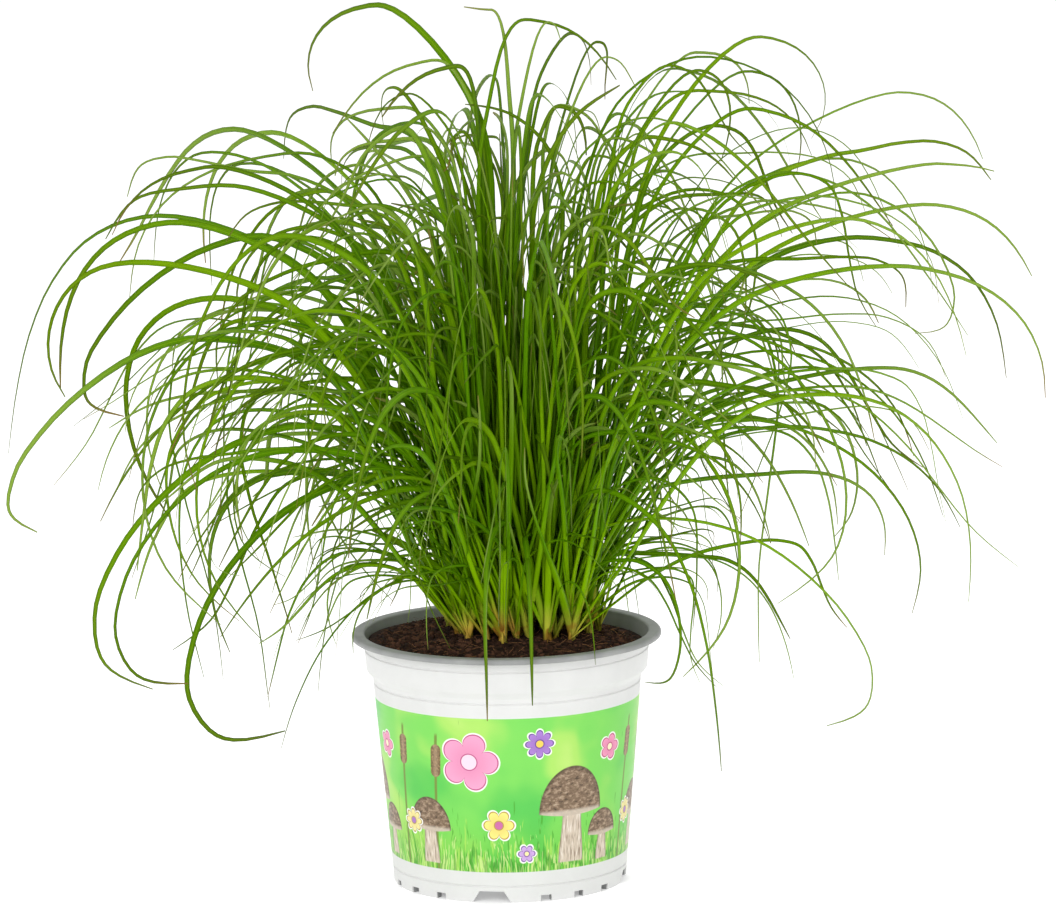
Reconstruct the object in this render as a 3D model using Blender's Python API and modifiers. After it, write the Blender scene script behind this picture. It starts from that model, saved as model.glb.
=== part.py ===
"""A young umbrella sedge in a 12 cm nursery pot: the pot, its soil and the shoots of the tuft.

Metres, +Z up. The origin is the middle of the pot's foot, on the surface that the pot stands on.
The table of leaves is in millimetres. The arch tops and tips of those in the middle and at the sides were
read from the photo; how deep they reach is a guess, and so are the leaves at the front and the back.
"""
import random
from math import cos, hypot, radians, sin, sqrt, tau

import bmesh
import bpy
from mathutils import Vector
from mathutils.bvhtree import BVHTree

MM = 0.001

# Pot: radii and heights of its turned profile
RIM_RADIUS = 0.0600
RIM_HEIGHT = 0.0981
RIM_DEPTH = 0.0022
RIM_INNER_RADIUS = 0.0549
RIM_ROUNDING = 0.0012
RIM_CHAMFER = 0.0006
COLLAR_TOP_RADIUS = 0.0555
COLLAR_FOOT_RADIUS = 0.0545
COLLAR_FOOT_HEIGHT = 0.0835
STEP_HEIGHT = 0.0022
BODY_TOP_RADIUS = 0.0521
FOOT_RADIUS = 0.0450
WALL = 0.0012
FLOOR = 0.0015
FOOT_RING = 0.0030
FOOT_RECESS = 0.0039
POT_SIDES = 60

# Notches in the foot ring, and drainage holes in the floor
NOTCH_STEP = 18
WIDE_NOTCH_ANGLES = (-99, -9, 81, 171)
WIDE_NOTCH_FOOT = 0.0175
WIDE_NOTCH_TOP = 0.0094
WIDE_NOTCH_HEIGHT = 0.0046
SMALL_NOTCH_WIDTH = 0.0047
SMALL_NOTCH_HEIGHT = 0.0026
SMALL_NOTCH_STEPS = (1.5, 2.5, 3.5)
NOTCH_MARGIN = 0.0020
HOLE_COUNT = 8
HOLE_RADIUS = 0.0040
HOLE_CIRCLE = 0.0340
HOLE_SIDES = 10

# Soil: a plug with a domed top
GAP = 0.0003
SOIL_RADIUS = 0.0536
SOIL_EDGE_HEIGHT = 0.0925
SOIL_TOP_HEIGHT = 0.0990
DOME_RINGS = 4

# Tuft: where the shoots stand, and how thick a stem and how wide a leaf is
TUFT_CENTRE = (0.006, 0.004)
TUFT_RADIUS = 0.0270
SIDE_FOOT = 0.0230
SHOOT_COUNT = 56
GOLDEN_ANGLE = radians(137.508)
STEM_RADIUS = 0.0019
STEM_TOP_RADIUS = 0.0017
STEM_HEIGHT = 0.0140
STEM_LEAN = 0.0022
LEAF_WIDTH = 0.0024
LEAF_KEEL = 0.0009
LEAF_FOOT_SHARE = 0.8
LEAF_FULL_AT = 0.3
LEAD_STEPS = (3, 6)
INNER_STEPS = (3, 3)

# Bends of a leaf's arc: the share of its chord's lean that its foot has, and how far along each bend reaches
FOOT_LEAN = 0.45
FOOT_PULL = 0.42
TOP_PULL = 0.5
TOP_PULL_LEAST = 0.012
TIP_PULL = 0.33
CURL_PULL = 0.22
CURL_MOST = 200

# Inner leaves: ranges to draw from, in millimetres and degrees, or as shares of the lead leaf and the crown
CROWN_HEIGHT = 330
CROWN_FALL = 0.45
INNER_OUT = (0.25, 0.85)
INNER_OUT_LEAST = 60
INNER_HEIGHT = (0.55, 1.0)
INNER_TIP_OUT = (10, 60)
INNER_TIP_DROP = (15, 60)
INNER_SPREAD = (8, 45)
INNER_DROOP = (-110, -40)

# Room that the leaves keep from each other, and how hard a place is looked for
LEAF_CLEARANCE = 0.00042
SIBLING_FREE_LENGTH = 0.030
NEAR_SPOTS = 9
TURNS = sorted(range(-20, 21, 2), key=abs)
PLACE_TRIES = 150
SEED = 12

# Colours
POT_WHITE = (0.86, 0.86, 0.84)
PEAT_BROWN = (0.055, 0.028, 0.017)
LEAF_GREEN = (0.10, 0.27, 0.02)
YOUNG_GREEN = (0.17, 0.37, 0.02)
SHADE_COUNT = 7

# Leaf arcs, in millimetres and degrees, from the tuft's axis: the direction the leaf grows in (0 is +X, 90
# is the back), how far out and how high its arch tops out, where its tip hangs, and where the tip points.


def leaf(direction, top, tip, droop, foot=None, reach=1.0, arch=1.0):
    """One leaf's arc. foot is where its shoot stands, from the axis; reach and arch stretch its bends."""
    return {
        "direction": direction,
        "top": top,
        "tip": tip,
        "droop": droop,
        "foot": foot,
        "reach": reach,
        "arch": arch,
    }


LEAD_LEAVES = (
    # the upright leaves in the middle
    leaf(168, (8, 339), (19, 340), 8, foot=2),
    leaf(158, (54, 339), (84, 305), -110, foot=4, arch=1.8),
    leaf(5, (3, 335), (40, 311), -60, foot=-18),
    leaf(194, (21, 318), (52, 300), -55, foot=12),
    leaf(146, (56, 306), (61, 289), -100, foot=13),
    leaf(-25, (15, 335), (20, 328), -70, foot=-12),
    leaf(40, (42, 323), (46, 300), -85, foot=8),
    leaf(-10, (36, 321), (48, 308), -60, foot=6),
    # left side, from the highest arches down
    leaf(141, (140, 283), (205, 225), -50),
    leaf(134, (134, 280), (180, 224), -100),
    leaf(218, (142, 292), (189, 271), -62),
    leaf(152, (152, 251), (232, 151), -82),
    leaf(174, (130, 257), (179, 192), -92),
    leaf(206, (165, 254), (189, 205), -125),
    leaf(164, (101, 249), (161, 176), -178, reach=0.9),
    leaf(228, (132, 267), (178, 177), -120, reach=0.8),
    leaf(185, (116, 231), (136, 146), -125),
    leaf(196, (130, 219), (191, 148), -165, reach=0.75),
    leaf(234, (131, 233), (176, 147), -178, reach=0.85),
    leaf(190, (85, 181), (145, 81), -168, reach=0.9),
    leaf(212, (109, 179), (149, 94), -180, reach=1.2),
    leaf(201, (57, 162), (97, 65), -195, reach=1.25),
    leaf(223, (62, 161), (159, 118), -45),
    leaf(170, (87, 158), (116, 86), -115),
    leaf(242, (108, 160), (161, 103), -78),
    # right side, from the highest arches down
    leaf(20, (99, 323), (123, 282), -130),
    leaf(-32, (82, 320), (92, 286), -115),
    leaf(44, (96, 313), (129, 290), -92),
    leaf(33, (106, 307), (132, 265), -108),
    leaf(-13, (90, 302), (147, 258), -55),
    leaf(25, (164, 296), (204, 267), -70),
    leaf(-20, (169, 285), (192, 283), -15),
    leaf(-38, (158, 270), (210, 223), -75),
    leaf(-4, (156, 263), (198, 235), -65),
    leaf(14, (132, 262), (160, 205), -188),
    leaf(-30, (166, 250), (226, 204), -92),
    leaf(-8, (127, 194), (187, 163), -28),
    leaf(17, (148, 191), (197, 158), -50),
    leaf(-17, (91, 183), (156, 110), -112, reach=0.9),
    leaf(48, (169, 164), (190, 106), -158),
    leaf(29, (115, 147), (169, 108), -100),
    leaf(-26, (72, 145), (129, 69), -168),
    leaf(-50, (48, 158), (116, 59), -86),
    leaf(9, (71, 123), (106, 89), -62),
    # front, guessed
    leaf(-84, (88, 262), (178, 203), -70),
    leaf(-66, (84, 216), (138, 150), -95),
    leaf(-103, (62, 240), (118, 190), -80),
    leaf(-123, (96, 206), (150, 152), -75),
    leaf(-105, (46, 146), (72, 76), -88),
    leaf(-87, (40, 140), (67, 81), -88),
    # back, guessed
    leaf(62, (118, 232), (176, 160), -95),
    leaf(77, (88, 268), (150, 205), -80),
    leaf(90, (104, 214), (170, 138), -85),
    leaf(103, (82, 290), (128, 240), -90),
    leaf(117, (116, 222), (172, 150), -110),
    leaf(84, (80, 150), (126, 92), -100),
)


def soil_height(radius):
    """Height of the domed soil above the foot, radius away from the pot's axis."""
    share = radius / SOIL_RADIUS
    return SOIL_EDGE_HEIGHT + (SOIL_TOP_HEIGHT - SOIL_EDGE_HEIGHT) * (1 - share * share)


def bezier(points, share):
    """The point at share, from 0 to 1, of a cubic curve with four control points."""
    a, b, c, d = points
    rest = 1 - share
    return a * rest ** 3 + b * (3 * rest * rest * share) + c * (3 * rest * share * share) + d * share ** 3


def leaf_curve(base, arc, rising, falling):
    """Points along a leaf: up from base to its arch's top in rising steps, then down in falling steps."""
    turn = radians(arc["direction"])
    droop = radians(arc["droop"])
    up = Vector((0, 0, 1))
    out = Vector((cos(turn), sin(turn), 0))
    axis = Vector((TUFT_CENTRE[0], TUFT_CENTRE[1], 0))
    top = axis + out * (arc["top"][0] * MM) + up * (arc["top"][1] * MM)
    tip = axis + out * (arc["tip"][0] * MM) + up * (arc["tip"][1] * MM)
    rise = top - base
    flat = hypot(rise.x, rise.y)
    away = Vector((rise.x, rise.y, 0)).normalized()
    lean = FOOT_LEAN * Vector((flat, rise.z)).angle(Vector((0, 1)))
    foot_pull = FOOT_PULL * rise.length
    top_pull = min(foot_pull, (TOP_PULL * flat + TOP_PULL_LEAST) * arc["arch"])
    curl = min(CURL_MOST, abs(arc["droop"])) / 180
    tip_pull = arc["reach"] * (tip - top).length * (TIP_PULL + CURL_PULL * curl)
    rising_arc = (base, base + (up * cos(lean) + away * sin(lean)) * foot_pull, top - out * top_pull, top)
    falling_arc = (top, top + out * tip_pull, tip - (out * cos(droop) + up * sin(droop)) * tip_pull, tip)
    points = [bezier(rising_arc, step / rising) for step in range(rising + 1)]
    return points + [bezier(falling_arc, step / falling) for step in range(1, falling + 1)]


def spots():
    """Where the shoots stand: a sunflower pattern, evenly spread over the tuft's foot."""
    places = []
    for number in range(SHOOT_COUNT):
        radius = TUFT_RADIUS * sqrt((number + 0.5) / SHOOT_COUNT)
        turn = number * GOLDEN_ANGLE
        places.append((TUFT_CENTRE[0] + radius * cos(turn), TUFT_CENTRE[1] + radius * sin(turn)))
    return places


def stem_points(spot, direction):
    """The foot of a stem, just above the soil, and its top, leaning a little towards direction."""
    turn = radians(direction)
    foot = Vector((spot[0], spot[1], soil_height(hypot(*spot)) + GAP))
    return foot, foot + Vector((STEM_LEAN * cos(turn), STEM_LEAN * sin(turn), STEM_HEIGHT))


def leaf_width(share):
    """Width of a leaf at share, from 0 at its foot to 1 at its tip."""
    widening = LEAF_FOOT_SHARE + (1 - LEAF_FOOT_SHARE) * min(1.0, share / LEAF_FULL_AT)
    return LEAF_WIDTH * widening * (1 - share ** 4) ** 0.8


def dense(points, spacing=0.0015):
    """Points along a leaf's path, no further apart than spacing, each with half the leaf's width there."""
    filled = []
    last = len(points) - 1
    for number, (start, end) in enumerate(zip(points, points[1:])):
        steps = max(1, int((end - start).length / spacing) + 1)
        for step in range(steps):
            share = (number + step / steps) / last
            filled.append((start.lerp(end, step / steps), leaf_width(share) / 2))
    return filled


class Room:
    """The space that the leaves already take, in cubic cells, to keep new leaves clear of it."""

    def __init__(self):
        self.size = LEAF_WIDTH + LEAF_CLEARANCE
        self.cells = {}

    def cell(self, point):
        return tuple(int(value // self.size) for value in point)

    def add(self, points, owner):
        for point, half in dense(points):
            self.cells.setdefault(self.cell(point), []).append((point, half, owner))

    def clear(self, points, owner, free_foot):
        """Whether points stay clear of every other leaf; a shoot's own leaves may meet within its foot."""
        for point, half in dense(points):
            own_foot = (point - free_foot).length < SIBLING_FREE_LENGTH
            x, y, z = self.cell(point)
            for near in ((x + i, y + j, z + k) for i in (-1, 0, 1) for j in (-1, 0, 1) for k in (-1, 0, 1)):
                for other, other_half, other_owner in self.cells.get(near, ()):
                    if own_foot and other_owner == owner:
                        continue
                    if (point - other).length < half + other_half + LEAF_CLEARANCE:
                        return False
        return True


def turned(arc, angle):
    """The same arc, grown in a direction turned by angle degrees."""
    return {**arc, "direction": arc["direction"] + angle}


def place_lead_leaves(room):
    """Stand each lead leaf's shoot on a free spot near its own side, turned a little to clear the others."""
    free = spots()
    shoots = []
    for owner, arc in enumerate(LEAD_LEAVES):
        turn = radians(arc["direction"])
        foot = SIDE_FOOT if arc["foot"] is None else arc["foot"] * MM
        wanted = Vector((TUFT_CENTRE[0] + foot * cos(turn), TUFT_CENTRE[1] + foot * sin(turn)))
        near = sorted(free, key=lambda spot: (Vector(spot) - wanted).length)[:NEAR_SPOTS]
        for spot, angle in ((spot, angle) for angle in TURNS for spot in near):
            lead = turned(arc, angle)
            stem = stem_points(spot, lead["direction"])
            path = leaf_curve(stem[1], lead, *LEAD_STEPS)
            shoot = {"stem": stem, "lead": lead, "leaves": [(path, lead["direction"])]}
            if room.clear([stem[0]] + path, owner, stem[0]) and not crosses_itself(shoot):
                break
        else:
            print("no clear place for lead leaf", owner + 1)
        free.remove(spot)
        room.add([stem[0]] + path, owner)
        shoots.append(shoot)
    return shoots


def inner_leaf(lead, side, draw):
    """A leaf of the same shoot that stands more upright than its lead leaf, to one side of it."""
    out = draw.uniform(*INNER_OUT) * max(INNER_OUT_LEAST, lead["top"][0])
    height = draw.uniform(*INNER_HEIGHT) * (CROWN_HEIGHT - CROWN_FALL * out)
    tip = (out + draw.uniform(*INNER_TIP_OUT), height - draw.uniform(*INNER_TIP_DROP))
    direction = lead["direction"] + side * draw.uniform(*INNER_SPREAD)
    return leaf(direction, (out, height), tip, draw.uniform(*INNER_DROOP))


def add_inner_leaves(shoots, room):
    """The second and third leaf of each shoot, drawn until they clear all others. A few find no room."""
    draw = random.Random(SEED)
    for side in (1, -1):
        for owner, shoot in enumerate(shoots):
            foot, top = shoot["stem"]
            for _ in range(PLACE_TRIES):
                arc = inner_leaf(shoot["lead"], side, draw)
                path = leaf_curve(top, arc, *INNER_STEPS)
                leaves = shoot["leaves"] + [(path, arc["direction"])]
                if room.clear(path, owner, foot) and not crosses_itself({**shoot, "leaves": leaves}):
                    room.add(path, owner)
                    shoot["leaves"] = leaves
                    break


def blade_rings(path, direction):
    """The leaf's three corners at each point between its foot and its tip: right edge, keel, left edge."""
    turn = radians(direction)
    across = Vector((-sin(turn), cos(turn), 0))
    rings = []
    for number in range(1, len(path) - 1):
        along = (path[number + 1] - path[number - 1]).normalized()
        side = (across - along * across.dot(along)).normalized()
        upper = along.cross(side)
        width = leaf_width(number / (len(path) - 1))
        keel = path[number] - upper * (LEAF_KEEL * width / LEAF_WIDTH)
        rings.append((path[number] - side * width / 2, keel, path[number] + side * width / 2))
    return rings


def least_twist(start, ring):
    """The three vertices of start in the order that lies nearest to the ring's corners."""
    orders = [start[turn:] + start[:turn] for turn in range(3)]
    return min(orders, key=lambda order: sum((vert.co - corner).length for vert, corner in zip(order, ring)))


def add_side(mesh, a, b, c, d):
    """A four-cornered side as two triangles that meet in a ridge, which keeps a twisted leaf whole."""
    normal = (b.co - a.co).cross(c.co - a.co)
    if normal.dot(d.co - a.co) <= 0:
        mesh.faces.new((a, b, c))
        mesh.faces.new((a, c, d))
    else:
        mesh.faces.new((a, b, d))
        mesh.faces.new((b, c, d))


def add_blade(mesh, start, path, direction):
    """Loft a leaf from the three vertices of start, along path, to a point."""
    rings = blade_rings(path, direction)
    last = least_twist(start, rings[0])
    for ring in rings:
        verts = [mesh.verts.new(corner) for corner in ring]
        for number in range(3):
            after = (number + 1) % 3
            add_side(mesh, last[number], last[after], verts[after], verts[number])
        last = verts
    tip = mesh.verts.new(path[-1])
    for number in range(3):
        mesh.faces.new((last[number], last[(number + 1) % 3], tip))


def shoot_mesh(shoot):
    """A three-cornered stem whose end parts into three leaves, or is closed where a leaf is missing."""
    mesh = bmesh.new()
    rings = []
    for centre, radius in zip(shoot["stem"], (STEM_RADIUS, STEM_TOP_RADIUS)):
        turns = [radians(shoot["lead"]["direction"] + angle) for angle in (-60, 60, 180)]
        rings.append([mesh.verts.new(centre + Vector((cos(turn), sin(turn), 0)) * radius) for turn in turns])
    foot, top = rings
    middle = mesh.verts.new(shoot["stem"][1])
    mesh.faces.new(reversed(foot))
    for number in range(3):
        after = (number + 1) % 3
        mesh.faces.new((foot[number], foot[after], top[after], top[number]))
        if number < len(shoot["leaves"]):
            add_blade(mesh, [middle, top[number], top[after]], *shoot["leaves"][number])
        else:
            mesh.faces.new((middle, top[number], top[after]))
    return mesh


def crosses_itself(shoot):
    """Whether any two of the shoot's leaves would pass through each other."""
    mesh = shoot_mesh(shoot)
    bmesh.ops.triangulate(mesh, faces=mesh.faces[:])
    mesh.faces.ensure_lookup_table()
    tree = BVHTree.FromBMesh(mesh)
    corners = [set(face.verts) for face in mesh.faces]
    crossing = any(not corners[one] & corners[other] for one, other in tree.overlap(tree))
    mesh.free()
    return crossing


def add_object(mesh, name, collection):
    """An object of the bmesh, which it frees."""
    data = bpy.data.meshes.new(name)
    mesh.to_mesh(data)
    mesh.free()
    piece = bpy.data.objects.new(name, data)
    collection.objects.link(piece)
    return piece


def turn_profile(points, name, collection):
    """A solid turned from a profile of (radius, height) points, which runs down its outer side."""
    mesh = bmesh.new()
    verts = [mesh.verts.new((radius, 0, height)) for radius, height in points]
    for start, end in zip(verts, verts[1:]):
        mesh.edges.new((start, end))
    piece = add_object(mesh, name, collection)
    screw = piece.modifiers.new("turn", "SCREW")
    screw.steps = POT_SIDES
    screw.render_steps = POT_SIDES
    screw.use_merge_vertices = True
    screw.merge_threshold = 0.00005
    screw.use_smooth_shade = True
    return piece


def make_pot(collection, cutters):
    """The pot: floor, tapered wall, stepped collar and rolled rim, with foot notches and drainage holes."""
    rim_foot = RIM_HEIGHT - RIM_DEPTH
    step_foot = COLLAR_FOOT_HEIGHT - STEP_HEIGHT
    pot = turn_profile(
        (
            (0, FOOT_RECESS + FLOOR),
            (FOOT_RADIUS - 2 * WALL, FOOT_RECESS + FLOOR),
            (BODY_TOP_RADIUS - WALL, step_foot),
            (COLLAR_FOOT_RADIUS - WALL, COLLAR_FOOT_HEIGHT),
            (COLLAR_TOP_RADIUS - WALL, rim_foot),
            (RIM_INNER_RADIUS, RIM_HEIGHT - RIM_CHAMFER),
            (RIM_INNER_RADIUS + RIM_CHAMFER, RIM_HEIGHT),
            (RIM_RADIUS - RIM_ROUNDING, RIM_HEIGHT),
            (RIM_RADIUS, RIM_HEIGHT - RIM_ROUNDING),
            (RIM_RADIUS, rim_foot + RIM_CHAMFER),
            (RIM_RADIUS - RIM_CHAMFER, rim_foot),
            (COLLAR_TOP_RADIUS, rim_foot),
            (COLLAR_FOOT_RADIUS, COLLAR_FOOT_HEIGHT),
            (BODY_TOP_RADIUS, step_foot),
            (FOOT_RADIUS, 0),
            (FOOT_RADIUS - FOOT_RING, 0),
            (FOOT_RADIUS - FOOT_RING, FOOT_RECESS),
            (0, FOOT_RECESS),
        ),
        "pot",
        collection,
    )
    for cutter in (notch_cutter(cutters), hole_cutter(cutters)):
        cut = pot.modifiers.new(cutter.name, "BOOLEAN")
        cut.operation = "DIFFERENCE"
        cut.solver = "EXACT"
        cut.object = cutter
    return pot


def add_notch(mesh, angle, foot_width, top_width, height):
    """A box through the foot ring at angle degrees from the front, narrower at its top."""
    box = bmesh.ops.create_cube(mesh, size=1)["verts"]
    inner = FOOT_RADIUS - FOOT_RING - NOTCH_MARGIN
    outer = FOOT_RADIUS + NOTCH_MARGIN
    turn = radians(angle - 90)
    out = Vector((cos(turn), sin(turn), 0))
    across = Vector((-sin(turn), cos(turn), 0))
    for vert in box:
        width = top_width if vert.co.z > 0 else foot_width
        level = height if vert.co.z > 0 else -NOTCH_MARGIN
        distance = outer if vert.co.x > 0 else inner
        side = width / 2 if vert.co.y > 0 else -width / 2
        vert.co = out * distance + across * side + Vector((0, 0, level))


def notch_cutter(collection):
    """All the notches of the foot ring as one cutter: four wide ones, and small ones between them."""
    mesh = bmesh.new()
    for wide in WIDE_NOTCH_ANGLES:
        add_notch(mesh, wide, WIDE_NOTCH_FOOT, WIDE_NOTCH_TOP, WIDE_NOTCH_HEIGHT)
        for step in SMALL_NOTCH_STEPS:
            small = wide + step * NOTCH_STEP
            add_notch(mesh, small, SMALL_NOTCH_WIDTH, SMALL_NOTCH_WIDTH, SMALL_NOTCH_HEIGHT)
    return add_cutter(mesh, "foot_notches", collection)


def hole_cutter(collection):
    """The drainage holes in the pot's floor as one cutter."""
    mesh = bmesh.new()
    size = {"segments": HOLE_SIDES, "radius1": HOLE_RADIUS, "radius2": HOLE_RADIUS, "depth": 3 * FLOOR}
    for number in range(HOLE_COUNT):
        turn = tau * number / HOLE_COUNT
        hole = bmesh.ops.create_cone(mesh, cap_ends=True, **size)["verts"]
        centre = Vector((HOLE_CIRCLE * cos(turn), HOLE_CIRCLE * sin(turn), FOOT_RECESS + FLOOR / 2))
        bmesh.ops.translate(mesh, verts=hole, vec=centre)
    return add_cutter(mesh, "drainage_holes", collection)


def add_cutter(mesh, name, collection):
    """A cutter's object: drawn as wire and not rendered."""
    cutter = add_object(mesh, name, collection)
    cutter.hide_render = True
    cutter.display_type = "WIRE"
    return cutter


def make_soil(collection):
    """The soil: a plug inside the pot's wall, with a domed top."""
    rings = [SOIL_RADIUS * number / DOME_RINGS for number in range(DOME_RINGS + 1)]
    step_foot = COLLAR_FOOT_HEIGHT - STEP_HEIGHT
    inside = WALL + GAP
    floor = FOOT_RECESS + FLOOR + GAP
    return turn_profile(
        [(radius, soil_height(radius)) for radius in rings]
        + [
            (COLLAR_FOOT_RADIUS - inside, COLLAR_FOOT_HEIGHT),
            (BODY_TOP_RADIUS - inside, step_foot),
            (FOOT_RADIUS - 2 * WALL - GAP, floor),
            (0, floor),
        ],
        "soil",
        collection,
    )


def give_material(piece, colour, roughness):
    """A Principled material of the piece's own."""
    finish = bpy.data.materials.new(piece.name)
    finish.use_nodes = True
    shader = finish.node_tree.nodes["Principled BSDF"]
    shader.inputs["Base Color"].default_value = (*colour, 1)
    shader.inputs["Roughness"].default_value = roughness
    shader.inputs["Metallic"].default_value = 0
    piece.data.materials.append(finish)


def new_collection(name):
    collection = bpy.data.collections.new(name)
    bpy.context.scene.collection.children.link(collection)
    return collection


def main():
    for piece in list(bpy.data.objects):
        bpy.data.objects.remove(piece, do_unlink=True)
    parts = new_collection("potted_umbrella_sedge")
    cutters = new_collection("cutters")

    give_material(make_pot(parts, cutters), POT_WHITE, 0.35)
    give_material(make_soil(parts), PEAT_BROWN, 0.95)

    room = Room()
    shoots = place_lead_leaves(room)
    add_inner_leaves(shoots, room)
    for number, shoot in enumerate(shoots, start=1):
        piece = add_object(shoot_mesh(shoot), f"shoot_{number:02d}", parts)
        youth = (number % SHADE_COUNT) / SHADE_COUNT
        give_material(piece, Vector(LEAF_GREEN).lerp(Vector(YOUNG_GREEN), youth), 0.45)


main()
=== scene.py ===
import random
from math import atan2, cos, degrees, hypot, radians, sin, tau

import bmesh
import bpy
import numpy as np
from mathutils import Matrix, Vector


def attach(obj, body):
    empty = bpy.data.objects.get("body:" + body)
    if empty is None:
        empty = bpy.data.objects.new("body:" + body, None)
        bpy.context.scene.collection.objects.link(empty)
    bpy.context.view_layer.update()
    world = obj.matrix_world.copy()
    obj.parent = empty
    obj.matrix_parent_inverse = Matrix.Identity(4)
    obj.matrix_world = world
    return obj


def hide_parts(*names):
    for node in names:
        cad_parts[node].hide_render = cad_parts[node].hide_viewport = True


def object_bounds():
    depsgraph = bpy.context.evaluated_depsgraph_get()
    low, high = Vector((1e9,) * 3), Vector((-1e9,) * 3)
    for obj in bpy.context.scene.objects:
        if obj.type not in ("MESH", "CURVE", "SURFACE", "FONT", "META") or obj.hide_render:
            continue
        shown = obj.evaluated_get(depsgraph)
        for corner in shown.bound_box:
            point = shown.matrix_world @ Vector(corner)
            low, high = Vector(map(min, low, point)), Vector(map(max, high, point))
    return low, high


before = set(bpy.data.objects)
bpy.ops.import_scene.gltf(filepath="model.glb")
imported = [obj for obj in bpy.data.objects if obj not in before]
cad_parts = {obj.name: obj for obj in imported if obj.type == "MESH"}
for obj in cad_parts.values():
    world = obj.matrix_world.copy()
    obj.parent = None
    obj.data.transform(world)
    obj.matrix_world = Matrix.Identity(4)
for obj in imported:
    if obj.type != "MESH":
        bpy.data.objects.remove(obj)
cadBox = [list(corner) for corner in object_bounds()]
mm = 0.001


# node helpers: a value is a number, a colour or a node's output, and a new node joins that output's tree


def feed(socket, value):
    if isinstance(value, bpy.types.NodeSocket):
        socket.id_data.links.new(value, socket)
    else:
        socket.default_value = value


def addNode(tree, kind, inputs=None, **settings):
    node = tree.nodes.new(kind)
    for name, value in settings.items():
        setattr(node, name, value)
    for key, value in (inputs or {}).items():
        feed(node.inputs[key], value)
    return node


def shapeNode(tree, kind, inputs=None, **settings):  # a geometry node's first output
    return addNode(tree, "GeometryNode" + kind, inputs, **settings).outputs[0]


def treeOf(*values):
    return next(value.id_data for value in values if isinstance(value, bpy.types.NodeSocket))


def calc(operation, *values):
    node = addNode(treeOf(*values), "ShaderNodeMath", operation=operation)
    for socket, value in zip(node.inputs, values):
        feed(socket, value)
    return node.outputs[0]


def times(a, b):
    return calc("MULTIPLY", a, b)


def plus(a, b):
    return calc("ADD", a, b)


def minus(a, b):
    return calc("SUBTRACT", a, b)


def distance(x, y):  # from the middle
    return calc("SQRT", plus(times(x, x), times(y, y)))


def vector(operation, *values):
    node = addNode(treeOf(*values), "ShaderNodeVectorMath", operation=operation)
    sockets = [socket for socket in node.inputs if socket.enabled]
    for socket, value in zip(sockets, values):
        feed(socket, value)
    return node.outputs["Value" if operation == "DOT_PRODUCT" else "Vector"]


def scaled(value, amount):
    node = addNode(treeOf(value), "ShaderNodeVectorMath", {0: value, "Scale": amount}, operation="SCALE")
    return node.outputs["Vector"]


def combine(x, y, z=0.0):
    return addNode(treeOf(x, y), "ShaderNodeCombineXYZ", {"X": x, "Y": y, "Z": z}).outputs[0]


def separate(place):
    return addNode(place.id_data, "ShaderNodeSeparateXYZ", {"Vector": place}).outputs


def span(value, low, high, start=0.0, end=1.0, smooth=True):  # start at low, end at high
    inputs = {"Value": value, "From Min": low, "From Max": high, "To Min": start, "To Max": end}
    kind = "SMOOTHSTEP" if smooth else "LINEAR"
    return addNode(value.id_data, "ShaderNodeMapRange", inputs, interpolation_type=kind).outputs[0]


def blend(share, below, above, mode="MIX"):  # the two colours are the node's sockets 6 and 7
    inputs = {"Factor": share, 6: below, 7: above}
    node = addNode(treeOf(share, below), "ShaderNodeMix", inputs, data_type="RGBA", blend_type=mode)
    return node.outputs[2]


def coat(paint, *layers):  # lays each (share, colour) over the paint
    for share, colour in layers:
        paint = blend(share, paint, colour)
    return paint


def noise(place, scale, detail=2.0, roughness=0.5, shift=0.0, output="Fac"):
    inputs = {"Vector": place, "Scale": scale, "Detail": detail, "Roughness": roughness, "W": shift}
    return addNode(place.id_data, "ShaderNodeTexNoise", inputs, noise_dimensions="4D").outputs[output]


def rgb(red, green, blue):  # a colour as a picture program shows it, 0 to 255
    shares = [value / 255 for value in (red, green, blue)]
    return (*(s / 12.92 if s < 0.04045 else ((s + 0.055) / 1.055) ** 2.4 for s in shares), 1.0)


def ramp(value, *stops):  # each stop: place, red, green, blue
    node = addNode(value.id_data, "ShaderNodeValToRGB", {"Fac": value})
    node.color_ramp.interpolation = "EASE"
    elements = node.color_ramp.elements
    while len(elements) < len(stops):
        elements.new(0.5)
    for element, (place, *colour) in zip(elements, stops):
        element.position = place
        element.color = rgb(*colour)
    return node.outputs["Color"]


def attributes(tree, *names):
    return [addNode(tree, "ShaderNodeAttribute", attribute_name=name).outputs["Fac"] for name in names]


def newMaterial(name, **sockets):
    material = bpy.data.materials.new(name)
    material.use_nodes = True
    shader = material.node_tree.nodes["Principled BSDF"]
    for key, value in sockets.items():
        shader.inputs[key.replace("_", " ")].default_value = value
    return material, material.node_tree, shader


def objectPlace(tree):
    return addNode(tree, "ShaderNodeTexCoord").outputs["Object"]


def bump(shader, height, distance, strength):
    inputs = {"Height": height, "Distance": distance, "Strength": strength}
    feed(shader.inputs["Normal"], addNode(shader.id_data, "ShaderNodeBump", inputs).outputs["Normal"])


def newTree(name, *labels):  # a geometry tree with a mesh input and inputs of these names
    tree = bpy.data.node_groups.new(name, "GeometryNodeTree")
    tree.interface.new_socket("Geometry", in_out="INPUT", socket_type="NodeSocketGeometry")
    for label in labels:
        kind = "NodeSocketInt" if label == "Seed" else "NodeSocketFloat"
        tree.interface.new_socket(label, in_out="INPUT", socket_type=kind)
    tree.interface.new_socket("Geometry", in_out="OUTPUT", socket_type="NodeSocketGeometry")
    return tree, tree.nodes.new("NodeGroupInput").outputs


def position(tree):
    return shapeNode(tree, "InputPosition")


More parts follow.
